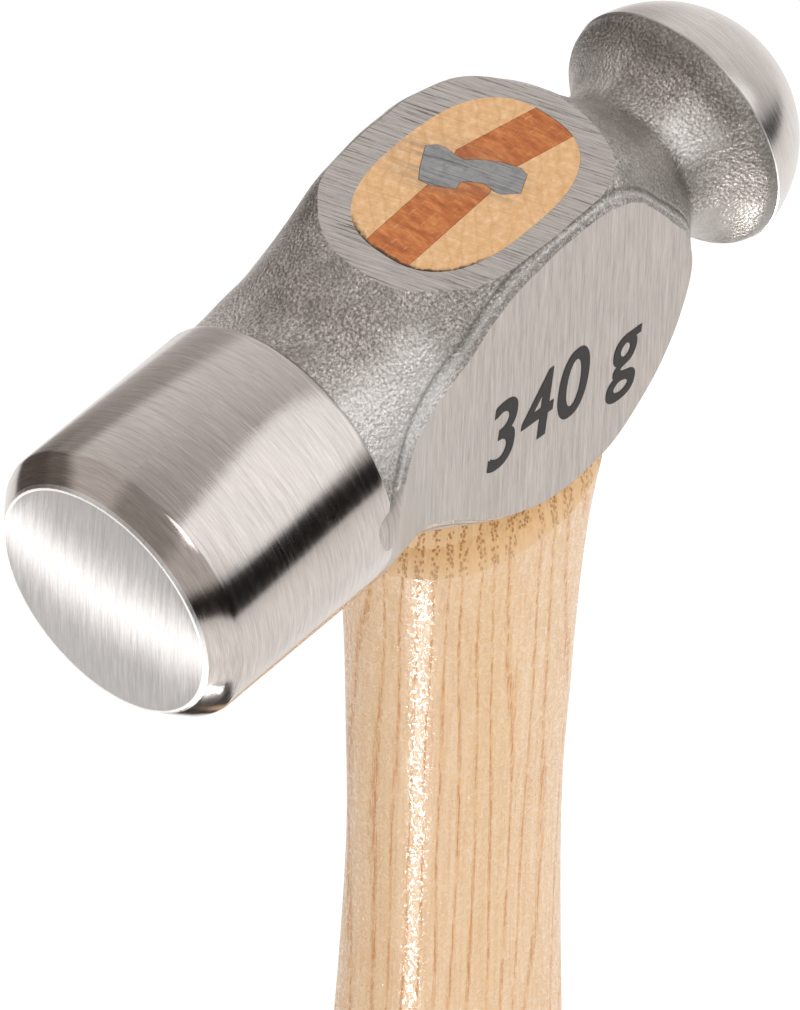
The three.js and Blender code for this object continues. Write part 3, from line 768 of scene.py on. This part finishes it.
tree.links.new(spread(tree, sheen, 0.0, 1.0, 0.10, 0.62), surface.inputs["Coat Weight"])
orange_peel = noise_node(tree, stretched(tree, place, (1.9, 1.9, 1.3)), 1.0, 3.0, 0.6)
tree.links.new(bump(tree, orange_peel, 0.045 * MM, bump(tree, waves, 0.035 * MM)),
               surface.inputs["Coat Normal"])

# The bare shoulder shows the rows as open pits. It pales towards its lower edge.
bare_ash, tree, surface = new_material("bare_ash", Specular_IOR_Level=0.35)
place = head_millimetres(tree)
grain = use_group(tree, ash_grain, {"Vector": place}).outputs
pits = add(tree, "TexVoronoi", {},
           {"Vector": stretched(tree, place, (1.0, 1.0, 0.5)), "Scale": 3.7}).outputs["Distance"]
pits = math_node(tree, "MULTIPLY", spread(tree, pits, 0.50, 0.28), spread(tree, grain["Band"], 0.0, 0.6))
pale = ramp(tree, grain["Fibre"], [
    (0.3, (0.74, 0.44, 0.19)), (0.5, (0.82, 0.52, 0.25)), (0.7, (0.87, 0.59, 0.31))])
tone = mixed(tree, math_node(tree, "MULTIPLY", grain["Row"], 0.4), pale, (0.74, 0.42, 0.16))
tone = mixed(tree, math_node(tree, "MULTIPLY", pits, 0.85), tone, (0.60, 0.21, 0.03))
height = add(tree, "SeparateXYZ", {}, {0: place}).outputs[2]
tree.links.new(mixed(tree, spread(tree, height, SEAT_Z - SHOULDER_SLOPE, SEAT_Z - 3),
                     mixed(tree, 0.65, tone, (0.88, 0.61, 0.355)), tone), surface.inputs["Base Color"])
tree.links.new(spread(tree, grain["Fibre"], 0.3, 0.7, 0.55, 0.4), surface.inputs["Roughness"])
tree.links.new(bump(tree, math_node(tree, "SUBTRACT", grain["Fibre"], pits), 0.12 * MM),
               surface.inputs["Normal"])

# End grain at the top of the eye and on the butt.
end_ash, tree, surface = new_material("end_ash", Specular_IOR_Level=0.3)
place = head_millimetres(tree)
flat_place = stretched(tree, place, (1, 1, 0))
grain = use_group(tree, ash_grain, {"Vector": flat_place}).outputs
scratches = use_group(tree, wheel_scratches, {"Vector": place})
smears = use_group(tree, steel_smears, {"Vector": place})
mottle = noise_node(tree, flat_place, 1.3, 4.0, 0.65)
tone = ramp(tree, mottle, [
    (0.28, (0.72, 0.41, 0.18)), (0.5, (0.80, 0.49, 0.25)), (0.72, (0.90, 0.62, 0.37))])
tone = mixed(tree, math_node(tree, "MULTIPLY", grain["Row"], 0.35), tone, (0.70, 0.42, 0.19))
tone = mixed(tree, math_node(tree, "MULTIPLY", grain["Pore"], 0.3), tone, (0.50, 0.26, 0.10))
tone = mixed(tree, math_node(tree, "MULTIPLY", scratches.outputs["Scratch"], 0.3), tone, (0.45, 0.27, 0.13))
tone = mixed(tree, math_node(tree, "MULTIPLY", smears.outputs[0], 0.8), tone, (0.22, 0.18, 0.155))
burnt = use_group(tree, torn_edge, {"Vector": place}).outputs[0]
tree.links.new(mixed(tree, burnt, tone, (0.07, 0.035, 0.015)), surface.inputs["Base Color"])
tree.links.new(spread(tree, mottle, 0.3, 0.7, 0.6, 0.5), surface.inputs["Roughness"])
tree.links.new(bump(tree, math_node(tree, "ADD", scratches.outputs["Height"], mottle), 0.03 * MM),
               surface.inputs["Normal"])

for finish in (lacquered_ash, bare_ash, end_ash):
    handle.data.materials.append(finish)
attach(handle, "root")
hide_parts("handle")

# ---- Weight mark ---------------------------------------------------------------------------------
# The head's weight, etched dark into the front cheek: a film of oxide as thin as paint. The strokes are
# thickened by laying the figures over themselves, each layer a hair further out.
STROKE_X, STROKE_Y = 0.16, 0.1
LAYER = 0.002
words = bpy.data.curves.new("weight", "FONT")
words.body = "340 g"
words.size, words.space_character = 9.8, 1.08
written = bpy.data.objects.new("weight", words)
bpy.context.collection.objects.link(written)
thin = bpy.data.meshes.new_from_object(written.evaluated_get(bpy.context.evaluated_depsgraph_get()))
bpy.data.objects.remove(written)
struck = bmesh.new()
for number, (across, upward) in enumerate(((0, 0), (1, 1), (-1, -1), (1, -1), (-1, 1))):
    shift = Vector((across * STROKE_X, upward * STROKE_Y, -LAYER * number))
    thin.transform(Matrix.Translation(shift))
    struck.from_mesh(thin)
    thin.transform(Matrix.Translation(-shift))
mark_mesh = bpy.data.meshes.new("weight_mark")
struck.to_mesh(mark_mesh)
struck.free()
mark_mesh.transform(Matrix.Diagonal((0.92, 1.22, 1, 1)))
mark_mesh.transform(Matrix.Rotation(math.radians(-6.5), 4, "Z"))
mark_mesh.transform(Matrix.Rotation(math.radians(90), 4, "X"))
mark_mesh.transform(Matrix.Translation((-11.4, -CHEEK_HALF - 0.03, -6.9)))
mark_mesh.transform(Matrix.Translation((0, 0, AXIS_HEIGHT)) @ Matrix.Scale(MM, 4))
mark = bpy.data.objects.new("weight_mark", mark_mesh)
bpy.context.collection.objects.link(mark)

etched, tree, surface = new_material("etched_oxide", Specular_IOR_Level=0.15)
place = head_millimetres(tree)
lines = use_group(tree, brush_lines, {"Vector": along_z(tree, place), "Fineness": 0.8, "Length": 1.2})
tree.links.new(mixed(tree, lines.outputs["Shade"], (0.020, 0.018, 0.017), (0.048, 0.043, 0.040)),
               surface.inputs["Base Color"])
tree.links.new(spread(tree, lines.outputs["Shade"], 0, 1, 0.45, 0.6), surface.inputs["Roughness"])
mark_mesh.materials.append(etched)
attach(mark, "root")

# ---- Table, light and camera ---------------------------------------------------------------------
# A plain white table that glows a little, a big soft box to the front and right, a small one over the head,
# a fill that gives no reflection, and two strips that only the lacquer and the face mirror.
table = bmesh.new()
bmesh.ops.create_grid(table, x_segments=1, y_segments=1, size=1.15,
                      matrix=Matrix.Translation((-0.05, -0.65, 0)))
floor = as_object(table, "floor")
table_white, tree, surface = new_material("table_white", Base_Color=(0.9, 0.9, 0.9, 1), Roughness=0.7,
                                          Emission_Color=(1, 1, 1, 1), Emission_Strength=0.34)
floor.data.materials.append(table_white)

# A dark card by the foot of the handle, for the poll's lower edge to mirror.
card = bmesh.new()
bmesh.ops.create_grid(card, x_segments=1, y_segments=1, size=0.5, matrix=(
    Matrix.Translation((-0.03, -0.03, 0.002)) @ Matrix.Rotation(math.radians(50), 4, "Z")
    @ Matrix.Diagonal((0.30, 0.09, 1, 1))))
card = as_object(card, "card")
card_black, tree, surface = new_material("card_black", Base_Color=(0.03, 0.025, 0.022, 1), Roughness=0.8)
card.data.materials.append(card_black)
card.visible_camera = card.visible_diffuse = card.visible_shadow = False


def area_light(name, place, aim, size, power, colour=(1, 1, 1), diffuse=True, glossy=True, turn=0):
    light = bpy.data.lights.new(name, "AREA")
    light.shape, light.size, light.size_y = "RECTANGLE", *size
    light.energy, light.color = power, colour
    made = bpy.data.objects.new(name, light)
    made.location = place
    facing = (Vector(aim) - Vector(place)).to_track_quat("-Z", "Y")
    made.rotation_euler = (facing @ Quaternion((0, 0, 1), math.radians(turn))).to_euler()
    made.visible_camera, made.visible_diffuse, made.visible_glossy = False, diffuse, glossy
    bpy.context.collection.objects.link(made)


middle_of_head = Vector((0, 0, AXIS_HEIGHT))
key_way = Vector((0.45, -0.60, 0.66)).normalized()
area_light("key_box", middle_of_head + key_way, middle_of_head, (1.0, 0.96), 2.55, colour=(0.94, 0.97, 1.0))
side_way = Vector((-0.30, -0.47, 0.83)).normalized()
area_light("side_box", middle_of_head + side_way, middle_of_head, (0.38, 0.44), 1.25)
fill_way = Vector((-0.53, -0.47, 0.70)).normalized()
area_light("fill", middle_of_head + fill_way * 1.2, middle_of_head, (1.0, 1.0), 3.2, glossy=False)
area_light("handle_strip", (-0.165, -0.095, 0.004), (-0.165, -0.095, 1), (0.12, 0.034), 0.7, diffuse=False)
area_light("face_strip", (-0.264, 0.178, 0.006), (-0.264, 0.178, 1), (0.036, 0.5), 0.15, diffuse=False,
           turn=33)

# The room is pale behind the table. In reflections its walls are dimmer to the left and low down, with a
# dark gap in front, which draws the dark line along the poll.
world = bpy.data.worlds.new("room")
world.use_nodes = True
tree = world.node_tree
background = tree.nodes["Background"]
way = add(tree, "SeparateXYZ", {}, {0: add(tree, "TexCoord").outputs["Generated"]}).outputs
to_back = spread(tree, math_node(tree, "ADD", math_node(tree, "MULTIPLY", way[0], 0.6),
                                math_node(tree, "MULTIPLY", way[1], 0.5)), 0.25, 0.75)
right_wall = mixed(tree, to_back, (0.66, 0.64, 0.63), (0.98, 0.96, 0.95))
left_wall = mixed(tree, spread(tree, math_node(tree, "ABSOLUTE", way[1]), 0.33, 0.45), (0.40, 0.37, 0.35),
                  (0.70, 0.66, 0.63))
walls = mixed(tree, spread(tree, way[0], -0.05, 0.30), left_wall, right_wall)
low = math_node(tree, "MULTIPLY", spread(tree, way[2], 0.34, 0.20), spread(tree, way[1], 0.50, 0.85))
far_low = mixed(tree, spread(tree, way[0], 0.1, 0.45), (0.20, 0.175, 0.16), (0.52, 0.48, 0.46))
walls = mixed(tree, low, walls, far_low)
under = math_node(tree, "MULTIPLY", spread(tree, way[2], 0.0, -0.1), spread(tree, way[1], 0.2, 0.5))
walls = mixed(tree, math_node(tree, "MULTIPLY", under, spread(tree, way[0], 0.45, 0.25)), walls,
              (0.13, 0.11, 0.10))
gap = spread(tree, math_node(tree, "ADD", way[2], math_node(tree, "MULTIPLY", way[1], 0.76)), -0.32, -0.46)
walls = mixed(tree, gap, walls, (0.014, 0.012, 0.011))
seen = add(tree, "LightPath").outputs["Is Camera Ray"]
tree.links.new(mixed(tree, seen, walls, (0.96, 0.95, 0.94)), background.inputs["Color"])
bpy.context.scene.world = world
bpy.context.scene.view_settings.view_transform = "Standard"

lens = bpy.data.cameras.new("camera")
lens.lens, lens.sensor_width = 605.2, 36
camera = bpy.data.objects.new("camera", lens)
right = Vector((0.661, -0.7501, 0.0217)).normalized()
forward = Vector((0.5083, 0.4263, -0.7483)).normalized()
up = right.cross(forward).normalized()
right = forward.cross(up)
camera.matrix_world = (Matrix.Translation((-0.7997, -0.6628, 1.4555))
                       @ Matrix((right, up, -forward)).transposed().to_4x4())
bpy.context.collection.objects.link(camera)
bpy.context.scene.camera = camera
